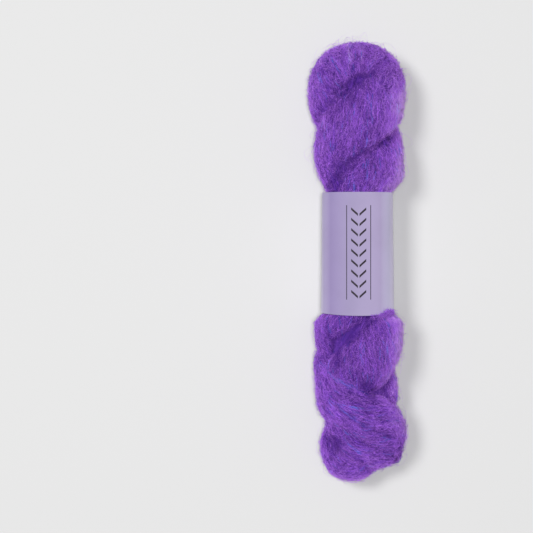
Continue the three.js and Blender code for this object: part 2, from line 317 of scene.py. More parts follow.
class Bundle:
    """A bundle of yarn: sections of two half sizes, carried along a path of centres.

    A point of its skin is centre + radial f(v) cos(v) outward + across f(v) sin(v) sideways,
    where outward points away from the spine and f is a superellipse's fullness.
    """

    def __init__(self, centres, radial, across, lay, tip, outward=None):
        run = np.append(0, np.cumsum(np.linalg.norm(np.diff(centres, axis=0), axis=1)))
        self.length = run[-1]
        self.run = np.linspace(0, self.length, int(self.length) + 1)
        centres = self._resample(run, centres)
        self.centre = centres
        self.along = unit(np.gradient(centres, axis=0))
        nearest = np.stack([
            np.full(len(centres), SPINE_X),
            np.clip(centres[:, 1], SPINE_BOTTOM, SPINE_TOP),
            np.zeros(len(centres)),
        ], -1)
        outward = unit(centres - nearest if outward is None else outward + 0 * centres)
        self.outward = unit(outward - dot(outward, self.along) * self.along)
        self.side = np.cross(self.along, self.outward)
        share = np.minimum(self.run, self.length - self.run) / tip + FIRST_RING
        swell = np.sqrt(1 - (1 - np.minimum(share, 1)) ** 2)
        self.radial = np.interp(self.run, run, radial) * swell
        self.across = np.interp(self.run, run, across) * swell
        self.lay = np.interp(self.run, run, lay)

    def _resample(self, run, rows):
        return np.stack([np.interp(self.run, run, column) for column in rows.T], -1)

    def at(self, s, rows):
        """A number or vector of the path at s."""
        if rows.ndim == 1:
            return np.interp(s, self.run, rows)
        return np.stack([np.interp(s, self.run, column) for column in rows.T], -1)

    def raw(self, s, v, lift=0.0):
        """Points of the skin before settling, at s and v, raised by lift."""
        full = fullness(v, PLY_POWER)
        up = (self.at(s, self.radial) + lift) * full * np.cos(v)
        out = (self.at(s, self.across) + lift) * full * np.sin(v)
        return (self.at(s, self.centre) + up[..., None] * self.at(s, self.outward)
                + out[..., None] * self.at(s, self.side))

    def skin(self, s, v, lift=0.0):
        """Points of the settled skin."""
        return settle(self.raw(s, v, lift))

    def slopes(self, s, v):
        """The skin's two slopes, with s and with v, and its outward normal."""
        ds, dv = 0.4, 0.02
        with_s = (self.skin(s + ds, v) - self.skin(s - ds, v)) / (2 * ds)
        with_v = (self.skin(s, v + dv) - self.skin(s, v - dv)) / (2 * dv)
        return with_s, with_v, unit(np.cross(with_v, with_s))

    def hides(self, raw):
        """How far inside the bundle raw points lie, and the way out of it.

        Each point is measured in the section whose centre is nearest to it, as the
        superellipse's own sum: 0 on the axis and 1 on the skin. The way out is the sum's slope.
        A point further than reach past a section's plane is outside.
        """
        reach, outside = 3.0, 9.0
        rows = slice(None, None, 2)
        centre = self.centre[rows]
        depth, way = np.full(len(raw), outside), np.zeros((len(raw), 3))
        for part in np.array_split(np.arange(len(raw)), max(1, len(raw) // 4000)):
            away = raw[part, None] - centre[None]
            near = (away ** 2).sum(-1).argmin(1)
            gap = away[np.arange(len(part)), near]
            outward, side = self.outward[rows][near], self.side[rows][near]
            radial, across = self.radial[rows][near], self.across[rows][near]
            ahead = np.abs((gap * self.along[rows][near]).sum(-1))
            up, out = (gap * outward).sum(-1) / radial, (gap * side).sum(-1) / across
            inside = (np.abs(up) ** PLY_POWER + np.abs(out) ** PLY_POWER) ** (1 / PLY_POWER)
            depth[part] = np.where(ahead < reach, inside, outside)
            way[part] = unit(outward * (up / radial)[:, None] + side * (out / across)[:, None])
        return depth, way

    def survey(self, others):
        """Maps the bundle's skin: for each place, how many millimetres outside the nearest
        other bundle it lies, how far from a crease, where another skin meets it aslant, and how
        much it is bridged. The lap goes over to the loop by a bridge, and to the wrap by
        neither."""
        s, v = np.meshgrid(np.arange(0, self.length, MAP_STEP),
                           np.linspace(0, 2 * math.pi, MAP_TURNS + 1), indexing="ij")
        raw = self.raw(s, v).reshape(-1, 3)
        outward, side = self.at(s, self.outward), self.at(s, self.side)
        own = unit(outward * (np.cos(v) / self.at(s, self.radial))[..., None]
                   + side * (np.sin(v) / self.at(s, self.across))[..., None]).reshape(-1, 3)
        cover, crease = np.full(len(raw), FAR_AWAY), np.full(len(raw), FAR_AWAY)
        bridge = np.zeros(len(raw))
        for other in others:
            depth, way = other.hides(raw)
            gap = (depth - 1) * np.mean(np.minimum(other.radial, other.across))
            slant = 1 - (own * way).sum(-1)
            cover = np.minimum(cover, gap)
            pair = {self.name, other.name}
            if pair == {"lap", "loop"}:
                bridge = np.exp(-np.maximum(gap, 0) / BRIDGE_WIDE)
            elif pair != {"wrap", "lap"}:
                crease = np.minimum(crease, gap + FAR_AWAY * (1 - ease(slant, *SLANT)))
        away = ((raw[:, :1] - FILLED["x"]) / FILLED["wide"]) ** 2
        away = away + ((raw[:, 1:2] - FILLED["y"]) / FILLED["long"]) ** 2
        filled = FILL * np.exp(-away ** 2).max(1)
        self.cover = cover.reshape(s.shape)
        self.crease = (np.maximum(crease, 0) + filled).reshape(s.shape)
        self.bridge = bridge.reshape(s.shape)

    def read(self, chart, s, v):
        """A value of a map at s and v, between its four nearest places."""
        row = np.clip(s / MAP_STEP, 0, chart.shape[0] - 1.001)
        column = np.mod(v, 2 * math.pi) / (2 * math.pi) * MAP_TURNS
        i, j = row.astype(int), np.minimum(column.astype(int), MAP_TURNS - 1)
        a, b = row - i, column - j
        low = chart[i, j] * (1 - b) + chart[i, j + 1] * b
        return low * (1 - a) + (chart[i + 1, j] * (1 - b) + chart[i + 1, j + 1] * b) * a


def smooth_rows(rows, count):
    """Rows on the Catmull-Rom curve through the given rows, evenly spaced in row number."""
    rows = np.concatenate([[2 * rows[0] - rows[1]], rows, [2 * rows[-1] - rows[-2]]])
    t = np.linspace(0, len(rows) - 3.000001, count)
    i = t.astype(int)
    t = (t - i)[:, None]
    a, b, c, d = (rows[i + k] for k in range(4))
    return 0.5 * (2 * b + (c - a) * t + (2 * a - 5 * b + 4 * c - d) * t ** 2
                  + (3 * b - a - 3 * c + d) * t ** 3)


def end_bundle(rows):
    """A bundle of the tucked end, on a smooth curve through its table's rows."""
    columns = np.stack([rows[name] for name in ("x", "y", "z", "radial", "across", "lay")], -1)
    fine = smooth_rows(columns, 120)
    return Bundle(fine[:, :3], fine[:, 3], fine[:, 4], fine[:, 5], END_TIP)


def mass(x, y, z, wide, long, deep):
    """A round mass of yarn, as a short straight bundle that tapers all the way."""
    ends = np.array([(x, y - long, z), (x, y + long, z)], float)
    full = np.ones(2)
    return Bundle(ends, deep * full, wide * full, 0 * full, long, np.array([0, 0, 1.0]))


def ply_bundle(side):
    """One ply, from the tail up over the fold.

    Its centre winds round the spine at the table's offset, half a turn in HALF_PITCH, and the
    winding quickens above FRONT_Y so that it meets the fold's plane. Over the fold it goes
    round an arc of the same offset, swaying out of its plane.
    """
    y = np.arange(PLY["y"][0], SPINE_TOP, 1.0)
    rise = y - FRONT_Y
    span = SPINE_TOP - FRONT_Y
    turn = math.pi * rise / HALF_PITCH
    quicken = (math.pi / 2 - math.pi * span / HALF_PITCH) * (rise / span) ** 2
    turn = turn + np.where(rise > 0, quicken, 0) + (math.pi if side < 0 else 0)
    row = np.clip(np.searchsorted(PLY["y"], y), 1, len(PLY["y"]) - 1)
    share = ease(y, PLY["y"][row - 1], PLY["y"][row])
    offset, radial, across = (
        PLY[name][row - 1] + (PLY[name][row] - PLY[name][row - 1]) * share
        for name in ("offset", "radial", "across")
    )
    shift = FOLD_SHIFT * ease(y, SPINE_TOP - HALF_PITCH, SPINE_TOP)
    low = np.stack([SPINE_X + shift + offset * np.sin(turn), y, offset * np.cos(turn)], -1)
    lean = side * np.linspace(math.pi / 2, -FOLD_OVERLAP, 60)
    offset = PLY["offset"][-1]
    high = np.stack([
        SPINE_X + FOLD_SHIFT + offset * np.sin(lean),
        SPINE_TOP + offset * np.cos(lean),
        -FOLD_SWAY * np.sin(2 * lean),
    ], -1)
    return Bundle(
        np.concatenate([low, high]),
        np.append(radial, np.full(len(lean), PLY["radial"][-1])),
        np.append(across, np.full(len(lean), PLY["across"][-1])),
        np.zeros(len(y) + len(lean)),
        PLY_TIP,
    )


BUNDLES = {
    "right_ply": ply_bundle(1),
    "left_ply": ply_bundle(-1),
    "wrap": end_bundle(WRAP),
    "lap": end_bundle(LAP),
    "loop": end_bundle(LOOP),
    "tip": end_bundle(TIP),
    "packing": mass(**PACKING),
    "core": mass(**CORE),
}
for name, bundle in BUNDLES.items():
    bundle.name = name
for bundle in BUNDLES.values():
    bundle.survey([other for other in BUNDLES.values() if other is not bundle])


def carry(level, normal):
    """A level direction carried onto a slope by the smallest turn from the vertical to its
    normal: d - (d.n) / (1 + n.z) (n + z)."""
    upward = np.array([0.0, 0.0, 1.0])
    share = dot(normal, level + 0 * normal) / np.maximum(1 + normal[..., 2:], 0.05)
    return unit(level - share * (normal + upward))


def turned(direction, normal, degrees):
    """A direction turned round the normal, anticlockwise seen from outside."""
    angle = np.radians(degrees)[..., None]
    return direction * np.cos(angle) + np.cross(normal, direction) * np.sin(angle)


def lay_direction(bundle, s, with_s, normal, point, swerve):
    """The way that the yarn runs at places on a bundle's skin.

    On the plies it runs along the hank and fans out over the fold, on the wrap and the lap it
    slopes across the hank, and on the other bundles it follows the bundle. A slow wave and
    swerve turn it further.
    """
    x, y = point[..., 0], point[..., 1]
    if bundle.name in FOLD_FROM:
        folded = ease(y, *FOLD_FROM[bundle.name])
        along = np.array([0.0, 1.0, 0.0])
        flat = unit(along - dot(normal, along + 0 * normal) * normal)
        share = folded[..., None]
        way = unit(carry(along, normal) * share + flat * (1 - share))
        turn = np.interp(x, FOLD_LAY["x"], FOLD_LAY["turn"]) * folded
        turn = turn + LEAN_LOW * ease(x, *LEAN_X) * ease(-y, *LEAN_Y)
    elif bundle.name in ("wrap", "lap"):
        way = carry(np.array([1.0, 0.0, 0.0]), normal)
        belt = BELT_TURN * np.exp(-((y - BELT_Y) / BELT_WIDE) ** 2) * ease(x, *BELT_X)
        turn = np.interp(x, WRAP_LAY["x"], WRAP_LAY["turn"]) + belt
    else:
        way = unit(with_s)
        turn = np.interp(s, bundle.run, bundle.lay)
    wave = sum(most * np.sin(by_x * x + by_y * y + start)
               for most, by_x, by_y, start in zip(*LAY_WAVES.values()))
    return turned(way, normal, turn + wave + np.degrees(swerve))


def seeds(count, bury=1.0, margin=3.0, lines=None):
    """Places spread evenly over what shows of the hank: for each bundle, arrays s and v.

    Tries are even in s and v, and each is kept with a chance that grows with the area round
    it. A place deeper than bury millimetres in another bundle is dropped, one further than
    margin under the band, and, where there are lines, one that they mark by less than on_line,
    for which there are for_lines times as many tries.
    """
    for_lines, on_line, one_each, least = 60, 0.4, 40, 3000
    tries, density = {}, {}
    for name, bundle in BUNDLES.items():
        number = int(count * (for_lines if lines else 1) * bundle.length / one_each) + least
        s = DRAW.uniform(0.5, bundle.length - 0.5, number)
        v = DRAW.uniform(-math.pi, math.pi, number)
        with_s, with_v, _ = bundle.slopes(s, v)
        spread = np.linalg.norm(np.cross(with_s, with_v), axis=-1)
        most = np.percentile(spread, 99)
        density[name] = number / (bundle.length * most)
        low, high = yarn_edges(bundle.skin(s, v)[:, 0])
        y = bundle.raw(s, v)[:, 1]
        shown = DRAW.uniform(0, most, number) < spread
        shown &= bundle.read(bundle.cover, s, v) > -bury
        shown &= (y < low + margin) | (y > high - margin)
        if lines:
            _, _, normals = bundle.slopes(s, v)
            shown &= marked(lines, bundle.skin(s, v), normals) > on_line
        tries[name] = (s[shown], v[shown])
    area = {name: len(s) / density[name] for name, (s, _) in tries.items()}
    whole = sum(area.values())
    chosen = {}
    for name, (s, v) in tries.items():
        pick = DRAW.permutation(len(s))[:int(count * area[name] / whole)]
        if len(pick):
            chosen[name] = (s[pick], v[pick])
    return chosen


def follow(bundle, s, v, length, steps, swerve, curl, sense=None):
    """Runs that follow the lay from their seeds: arrays s and v with a column for each step.

    Half of the runs go one way and half the other, unless a sense is given. Each step in s and
    v is solved from the skin's two slopes, so that the steps are equal over the skin, and is
    cut off at most_s and most_v near a tip. curl turns the run as it goes.
    """
    most_s, most_v = 3, 0.6
    sense = DRAW.choice([-1.0, 1.0], len(s)) if sense is None else sense
    marks = [(s, v)]
    for k in range(steps):
        with_s, with_v, normal = bundle.slopes(s, v)
        turn = swerve + curl * (k + 0.5) / steps
        way = lay_direction(bundle, s, with_s, normal, bundle.skin(s, v), turn)
        step = sense * length / steps
        ss, sv, vv = (with_s ** 2).sum(-1), (with_s * with_v).sum(-1), (with_v ** 2).sum(-1)
        fs, fv = (with_s * way).sum(-1), (with_v * way).sum(-1)
        even = np.maximum(ss * vv - sv ** 2, 1e-6)
        s = s + np.clip((fs * vv - fv * sv) / even, -most_s, most_s) * step
        v = v + np.clip((fv * ss - fs * sv) / even, -most_v, most_v) * step
        s = np.clip(s, 0.5, bundle.length - 0.5)
        marks.append((s, v))
    return tuple(np.stack(column, -1) for column in zip(*marks))


# Random waves 2.6 to 7 mm long
WAVES = unit(DRAW.normal(size=(90, 3))) * 2 * math.pi / DRAW.uniform(2.6, 7, (90, 1))
PHASES = DRAW.uniform(0, 2 * math.pi, 90)


def strand_tone(bundle, s, v):
    """How light the strand is to which a place belongs, with a mean of 0 and a spread of 1.

    Random waves sin(w.p + c) are averaged along the lay through the place, which leaves the
    waves that run across the lay.
    """
    total = 0
    for sense in (-1.0, 1.0):
        marks = follow(bundle, s, v, STRAND_RUN, 4, np.zeros(len(s)), 0, sense)
        total = total + np.sin(bundle.skin(*marks) @ WAVES.T + PHASES).sum((1, 2))
    return (total - total.mean()) / total.std()


def marked(rows, point, normal):
    """How strongly places on the front are marked by a table of lines: the sum over its rows of
    dark exp(-(d / wide)^2), with d the distance seen from above to the line from (x0, y0) to
    (x1, y1)."""
    x, y = point[..., 0], point[..., 1]
    total = np.zeros(x.shape)
    for x0, y0, x1, y1, wide, dark in zip(*rows.values()):
        dx, dy = x1 - x0, y1 - y0
        share = np.clip(((x - x0) * dx + (y - y0) * dy) / (dx * dx + dy * dy), 0, 1)
        away = (x - x0 - share * dx) ** 2 + (y - y0 - share * dy) ** 2
        total += dark * np.exp(-away / wide ** 2)
    return total * ease(normal[..., 2], 0.1, 0.4)


class Surface:
    """Points, triangles and quads of a mesh, joined up from pieces, with a tone for each
    point and a place on the OFBake map for each corner."""

    def __init__(self):
        self.points, self.tones, self.tris, self.quads = [], [], [], []
        self.tri_places, self.quad_places = [], []
        self.count = 0

    def add(self, points, tones, tris, quads, tri_places, quad_places):
        self.points.append(points.reshape(-1, 3))
        self.tones.append(np.broadcast_to(tones, points.shape[:-1]).reshape(-1))
        self.tris.append(tris.reshape(-1, 3) + self.count)
        self.quads.append(quads.reshape(-1, 4) + self.count)
        self.tri_places.append(tri_places.reshape(-1, 2))
        self.quad_places.append(quad_places.reshape(-1, 2))
        self.count += self.points[-1].shape[0]

    def piece(self, name, material, slot):
        """The mesh as an object that rides on the hank's one body."""
        points = (np.concatenate(self.points) + SHIFT) * MM
        tris, quads = np.concatenate(self.tris), np.concatenate(self.quads)
        mesh = bpy.data.meshes.new(name)
        mesh.vertices.add(len(points))
        mesh.vertices.foreach_set("co", points.astype(np.float32).ravel())
        corners = np.concatenate([tris.ravel(), quads.ravel()]).astype(np.int32)
        mesh.loops.add(len(corners))
        mesh.loops.foreach_set("vertex_index", corners)
        starts = np.append(np.arange(len(tris)) * 3, len(tris) * 3 + np.arange(len(quads)) * 4)
        mesh.polygons.add(len(starts))
        mesh.polygons.foreach_set("loop_start", starts.astype(np.int32))
        mesh.polygons.foreach_set("use_smooth", np.ones(len(starts), bool))
        mesh.update(calc_edges=True)
        layer = mesh.uv_layers.new(name="OFBake")
        uv = np.concatenate(self.tri_places + self.quad_places)
        layer.data.foreach_set("uv", uv.astype(np.float32).ravel())
        tone = mesh.attributes.new("tone", "FLOAT", "POINT")
        tone.data.foreach_set("value", np.concatenate(self.tones).astype(np.float32))
        mesh.materials.append(material)
        piece = bpy.data.objects.new(name, mesh)
        bpy.context.scene.collection.objects.link(piece)
        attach(piece, "root")
        return piece


def tube(along, around):
    """The faces of a tube whose rings are closed by a point at each end.

    Its points are the rings in turn, then the first end and the last one. along holds the
    place of an end, of each ring and of the other end on the OFBake map, and around the places
    of a ring's points, with the first one again. It gives triangles, quads, and the place of
    each of their corners, for faces that look outwards where the way round is anticlockwise
    seen from the last end.
    """
    rings, count = len(along) - 2, len(around) - 1
    j = np.arange(count)
    after = (j + 1) % count
    last = (rings - 1) * count
    start = np.stack([np.full(count, rings * count), after, j], -1)
    end = np.stack([np.full(count, rings * count + 1), last + j, last + after], -1)
    k = np.arange(rings - 1)[:, None] * count
    quads = np.stack([k + j, k + after, k + count + after, k + count + j], -1)
    a, b = around[:-1], around[1:]
    low, high = along[1:-2, None], along[2:-1, None]
    return (
        np.concatenate([start, end]),
        quads.reshape(-1, 4),
        np.concatenate([
            places((along[0], (a + b) / 2), (along[1], b), (along[1], a)),
            places((along[-1], (a + b) / 2), (along[-2], a), (along[-2], b)),
        ]),
        places((low, a), (low, b), (high, b), (high, a)).reshape(-1, 4, 2),
    )


def places(*corners):
    """Faces on the map, from the two coordinates of each corner."""
    return np.stack([np.stack(np.broadcast_arrays(*corner), -1) for corner in corners], -2)


def hairs(surface, paths, normals, radii, tones, sides, cells):
    """Adds closed tapered hairs: each is a path of points with a radius at each point.

    A ring of the hair is point + radius (cos(a) up + sin(a) side), with up the skin's normal
    made square to the path, and both ends close in a point. cells is the first cell of the
    OFBake map that the hairs take, and how many cells its side holds: along a cell lies the
    way along a hair, and across it the way round.
    """
    count, steps = paths.shape[:2]
    way = unit(np.gradient(paths, axis=1))
    up = unit(normals - dot(normals, way) * way)
    side = np.cross(way, up)
    angle = 2 * math.pi * np.arange(sides) / sides
    ring = (up[:, 1:-1, None] * np.cos(angle)[:, None]
            + side[:, 1:-1, None] * np.sin(angle)[:, None])
    rings = paths[:, 1:-1, None] + ring * radii[:, 1:-1, None, None]
    points = np.concatenate([rings.reshape(count, -1, 3), paths[:, :1], paths[:, -1:]], 1)
    shade = np.concatenate([
        np.repeat(tones[:, 1:-1], sides, 1), tones[:, :1], tones[:, -1:],
    ], 1)
    tris, quads, tri_places, quad_places = tube(
        0.1 + 0.8 * np.arange(steps) / (steps - 1), 0.1 + 0.8 * np.arange(sides + 1) / sides)
    base = np.arange(count)[:, None, None] * points.shape[1]
    first, across = cells
    cell = np.stack(divmod(first + np.arange(count), across), -1)[:, None, None]
    surface.add(points, shade, base + tris, base + quads,
                (cell + tri_places) / across, (cell + quad_places) / across)


def body_of_yarn():
    """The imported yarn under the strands: each bundle's skin, drawn in by BODY_SUNK.

    A grid of s by v, closed by a point at each tip. Each bundle takes a strip of the OFBake map.
    """
    surface = Surface()
    for tile, bundle in enumerate(BUNDLES.values()):
        rows, columns = int(bundle.length / 1.8), 44
        s = np.linspace(0, bundle.length, rows)[:, None] + np.zeros(columns)
        v = np.linspace(0, 2 * math.pi, columns, endpoint=False) + np.zeros((rows, 1))
        grid = bundle.skin(s, v, -BODY_SUNK).reshape(-1, 3)
        points = np.concatenate([grid, settle(bundle.centre[[0, -1]])])
        # Painted shade: the body's tone falls from 0.4 towards 0 near a crease
        near = np.exp(-bundle.read(bundle.crease, s, v) / CREASE_WIDE)
        shade = np.append(0.4 - 0.4 * near.ravel(), [0.2, 0.2])
        low, high = tile / len(BUNDLES) + 0.005, (tile + 1) / len(BUNDLES) - 0.005
        along = np.concatenate([[0.005], 0.03 + 0.94 * np.arange(rows) / (rows - 1), [0.995]])
        around = low + (high - low) * np.arange(columns + 1) / columns
        tris, quads, tri_places, quad_places = tube(along, around)
        surface.add(points, shade, tris, quads, tri_places[..., ::-1], quad_places[..., ::-1])
    return surface


def hair_tone(bundle, s, v, normals, own, lift, near, dark):
    """The tone along hairs that run over a bundle at s and v.

    It is a hair's own, with painted light added for each millimetre of lift and RIM_LIGHT more on
    a steep side as painted rim light, times exp(-k g), a painted shade in which g adds up the
    crease, the valley round it and the marked hollows and k is its strength. Where the skin turns
    away to the right or to the tail's end, the tone goes over to a painted glow, as of light
    through thin fluff.
    """
    x, y, z = np.moveaxis(normals, -1, 0)
    tone = own[:, None] + PAINTED_RISE_LIGHT * (lift + 0.5) + RIM_LIGHT * ease(1 - np.abs(z), *RIM)
    valley = np.exp(-bundle.read(bundle.crease, s, v) / VALLEY_WIDE)
    painted_shade = CREASE_PAINTED_SHADE * near + VALLEY_PAINTED_SHADE * valley + dark
    tone = np.clip(tone, 0, MOST_TONE) * np.exp(-PAINTED_SHADE_SCALE * painted_shade)
    tilt = ease(np.sqrt(np.maximum(1 - z * np.abs(z), 0)), *TILT)
    tilt = tilt * (1 - np.exp(-np.maximum(bundle.read(bundle.cover, s, v), 0) / FAR_DEEP))
    far = tilt * np.minimum(ease(x, *FAR_X) + 0.5 * ease(-y, *FAR_Y), 1)
    return np.clip(tone + far * (PAINTED_GLOW_TONE - tone), 0, 2)


def coat(count, length, points, radius, level, rise, sides, swerve=0.1, curl=0.1, wild=0.0,
         bury=1.0, margin=0.5, tone=(0.5, 0.15), weave=0.0, taper=0.5, clump=1, lines=None):
    """A coat of hairs over all that shows of the hank, or along lines, where they are given.

    length, radius and level are ranges in millimetres, and a hair has this many points and
    sides. Its height over the skin is its level plus rise, which comes from the number of hairs
    and the share of the way along, less where it sinks into a crease or a hollow. swerve and
    curl are spreads in radians, wild is the share of hairs that lie any way, tone is a middle
    and a spread, weave is a ripple to the side in millimetres, and the hair thins out as the
    sine of the way to the power taper. clump hairs start from about the same place, much the
    same way and tone. bury and margin are told in seeds.
    """
    surface = Surface()
    across = math.ceil(math.sqrt(count * 1.05))
    used = 0
    t = np.linspace(0, 1, points)
    for name, (s, v) in seeds(count // clump, bury, margin, lines).items():
        bundle = BUNDLES[name]
        turn, own = DRAW.normal(0, swerve, len(s)), DRAW.normal(*tone, len(s))
        base, depth = DRAW.uniform(*level, len(s)), DRAW.uniform(*CREASE_SPREAD, len(s))
        depth = np.where(DRAW.random(len(s)) < BRIDGING, BRIDGING_SINK, depth)
        if clump > 1:
            strand = strand_tone(bundle, s, v)
            combed = COMBED_MORE if name in COMBED else 1.0
            own = own + combed * STRAND_LIGHT * strand
            base = base + combed * STRAND_HIGH * strand
        s, v, turn, own, base, depth = (
            np.repeat(column, clump) for column in (s, v, turn, own, base, depth))
        number = len(s)
        if clump > 1:
            s = np.clip(s + DRAW.normal(0, CLUMP_ALONG, number), 0.5, bundle.length - 0.5)
            v = v + DRAW.normal(0, CLUMP_ROUND, number)
            turn = turn + DRAW.normal(0, CLUMP_TURN, number)
            own = own + DRAW.normal(0, tone[1] / 3, number)
            base = base + DRAW.normal(0, CLUMP_HIGH, number)
        loose = DRAW.random(number) < wild
        turn = np.where(loose, DRAW.uniform(-math.pi / 2, math.pi / 2, number), turn)
        s, v = follow(bundle, s, v, DRAW.uniform(*length, number), points - 1,
                      turn, DRAW.normal(0, curl, number))
        _, _, normals = bundle.slopes(s, v)
        # near and dark sink the hairs here, and hair_tone paints the same places darker as painted
        # shade, and lighter, a painted highlight, where dark is below 0
        near = depth[:, None] * np.exp(-bundle.read(bundle.crease, s, v) / CREASE_WIDE)
        dark = marked(HOLLOWS, bundle.skin(s, v), normals)
        lift = base[:, None] + rise(number, t) - CREASE_SINK * near - HOLLOW_SINK * dark
        lift = lift + BRIDGE_HIGH * bundle.read(bundle.bridge, s, v)
        thickness = np.clip((bundle.at(s, bundle.radial) - THIN) / (THICK - THIN), 0, 1)
        sunk = COAT_SUNK * thickness * (1 - SUNK_SLANT * normals[..., 0])
        paths = bundle.skin(s, v, lift - sunk)
        if weave:
            ripple = weave * np.sin(1.9 * points * t + DRAW.uniform(0, 2 * math.pi, (number, 1)))
            way = unit(np.gradient(paths, axis=1))
            paths = paths + np.cross(way, normals) * ripple[..., None]
        thick = DRAW.uniform(*radius, (number, 1)) * np.sin(math.pi * t) ** taper
        shade = hair_tone(bundle, s, v, normals, own, lift, near, dark)
        hairs(surface, paths, normals, thick, shade, sides, (used, across))
        used += number
    return surface


def spilt_fluff(count):
    """Fluff that lies over the paper at its lower right-hand corner.

    A hair starts under the paper's edge at an angle a round the band, and each step adds
    (cos h) / SPILT_ROUND to a and sin h to y, with h near a right angle. It stands off the
    paper by an arch, and the hairs are longest round SPILT_X.
    """
    t = np.linspace(0, 1, 5)
    angle = DRAW.uniform(*SPILT_ANGLE, count)
    x = BAND_X + BAND_HALF_WIDE * fullness(angle, BAND_POWER) * np.cos(angle)
    tall = np.exp(-((x - SPILT_X) / SPILT_WIDE) ** 2)
    length = DRAW.uniform(*SPILT_LONG, count) * (0.4 + 0.6 * tall)
    heading = DRAW.normal(1.5, 0.8, count)[:, None] + DRAW.normal(0, 0.8, (count, 1)) * t
    step = (length / 4)[:, None]
    angle = angle[:, None] + np.cumsum(np.cos(heading) * step / SPILT_ROUND, 1)
    low, _ = paper_edges(x)
    start = low - DRAW.uniform(0.0, SPILT_UNDER, count)
    y = start[:, None] + np.cumsum(np.sin(heading) * step, 1)
    off = 0.25 + DRAW.exponential(0.45, (count, 1)) * np.sin(math.pi * (0.15 + 0.85 * t))
    full = fullness(angle, BAND_POWER)
    paths = np.stack([
        BAND_X + (BAND_HALF_WIDE + off) * full * np.cos(angle),
        y,
        BAND_Z + (BAND_HALF_DEEP + off) * full * np.sin(angle),
    ], -1)
    normals = unit(np.stack([np.cos(angle), 0 * angle, np.sin(angle)], -1))
    thick = DRAW.uniform(0.04, 0.08, (count, 1)) * np.sin(math.pi * t) ** 0.5
    shade = np.clip(DRAW.normal(0.7, 0.3, (count, 1)) + 0.15 * t, 0.1, 1.2)
    surface = Surface()
    hairs(surface, paths, normals, thick, shade, 3, (0, math.ceil(math.sqrt(count))))
    return surface


def dive(number, t):
    """Rises out of the body, lies level and dives back, as the root of a sine."""
    return 1.4 * (np.sin(math.pi * t) ** 0.5 - 1) + np.zeros((number, 1))


def fluff_rise(number, t):
    """Half arch over and half stand free at one end, up to heights drawn from an
    exponential."""
    free = DRAW.random((number, 1)) < 0.5
    shape = np.where(free, t ** 1.3, np.sin(math.pi * t))
    return np.minimum(DRAW.exponential(0.55, (number, 1)), 2.2) * shape


def stray_rise(number, t):
    """Floats well over the hank and wanders up and down."""
    free = DRAW.random((number, 1)) < 0.6
    shape = np.where(free, t ** 1.6, np.sin(math.pi * t))
    height = np.minimum(DRAW.exponential(2.0, (number, 1)), 7)
    return height * shape + 0.25 * np.sin(7 * t + DRAW.uniform(0, 6, (number, 1)))


class Finish:
    """A material under construction. node() adds any node from its type, its settings and the
    values or links of its sockets."""

    def __init__(self, name):
        self.material = bpy.data.materials.new(name)
        self.material.use_nodes = True
        self.tree = self.material.node_tree
        self.tree.nodes.clear()
        self.shader = self.node("ShaderNodeBsdfPrincipled")
        self.node("ShaderNodeOutputMaterial", {}, {"Surface": self.shader.outputs[0]})

    def node(self, kind, settings=None, inputs=None):
        made = self.tree.nodes.new(kind)
        for key, value in (settings or {}).items():
            if key == "stops":
                self._ramp(made, value)
            else:
                setattr(made, key, value)
        self.set(made, inputs or {})
        return made

    def set(self, node, inputs):
        for key, value in inputs.items():
            socket = node.inputs[key]
            if isinstance(value, Value):
                value = value.socket
            if isinstance(value, bpy.types.NodeSocket):
                self.tree.links.new(value, socket)
            else:
                socket.default_value = value

    def _ramp(self, node, stops):
        ramp = node.color_ramp
        while len(ramp.elements) < len(stops):
            ramp.elements.new(0.5)
        for element, (place, colour) in zip(ramp.elements, stops):
            element.position = place
            element.color = (*colour, 1)

    def value(self, socket):
        return Value(self, socket)

    def mix(self, factor, a, b, blend="MIX"):
        """A colour between a and b, or one that blends them in another way."""
        a, b = ((*colour, 1) if isinstance(colour, tuple) else colour for colour in (a, b))
        made = self.node("ShaderNodeMix", {"data_type": "RGBA", "blend_type": blend},
                         {0: factor, 6: a, 7: b})
        return made.outputs[2]

    def noise(self, scale, detail=2.0):
        """A noise between about 0.3 and 0.7 over the piece's own coordinates, in 1/m."""
        where = self.node("ShaderNodeTexCoord").outputs["Object"]
        made = self.node("ShaderNodeTexNoise", {}, {
            "Vector": where, "Scale": scale, "Detail": detail,
        })
        return self.value(made.outputs[0])

    def attribute(self, name):
        made = self.node("ShaderNodeAttribute", {"attribute_name": name})
        return self.value(made.outputs["Fac"])


def arithmetic(operation, swapped=False):
    """A method of Value that adds a Math node, with its two numbers swapped if need be."""
    def method(self, other=None):
        numbers = [self] if other is None else [self, other]
        inputs = dict(enumerate(reversed(numbers) if swapped else numbers))
        made = self.finish.node("ShaderNodeMath", {"operation": operation}, inputs)
        return Value(self.finish, made.outputs[0])
    return method


class Value:
    """A socket that holds a number, with the arithmetic that adds Math nodes."""

    def __init__(self, finish, socket):
        self.finish, self.socket = finish, socket

    __add__ = __radd__ = arithmetic("ADD")
    __sub__, __rsub__ = arithmetic("SUBTRACT"), arithmetic("SUBTRACT", swapped=True)
    __mul__ = __rmul__ = arithmetic("MULTIPLY")
    __truediv__ = arithmetic("DIVIDE")
    __gt__, __lt__ = arithmetic("GREATER_THAN"), arithmetic("LESS_THAN")
    least, most = arithmetic("MINIMUM"), arithmetic("MAXIMUM")
    absolute, fraction = arithmetic("ABSOLUTE"), arithmetic("FRACT")


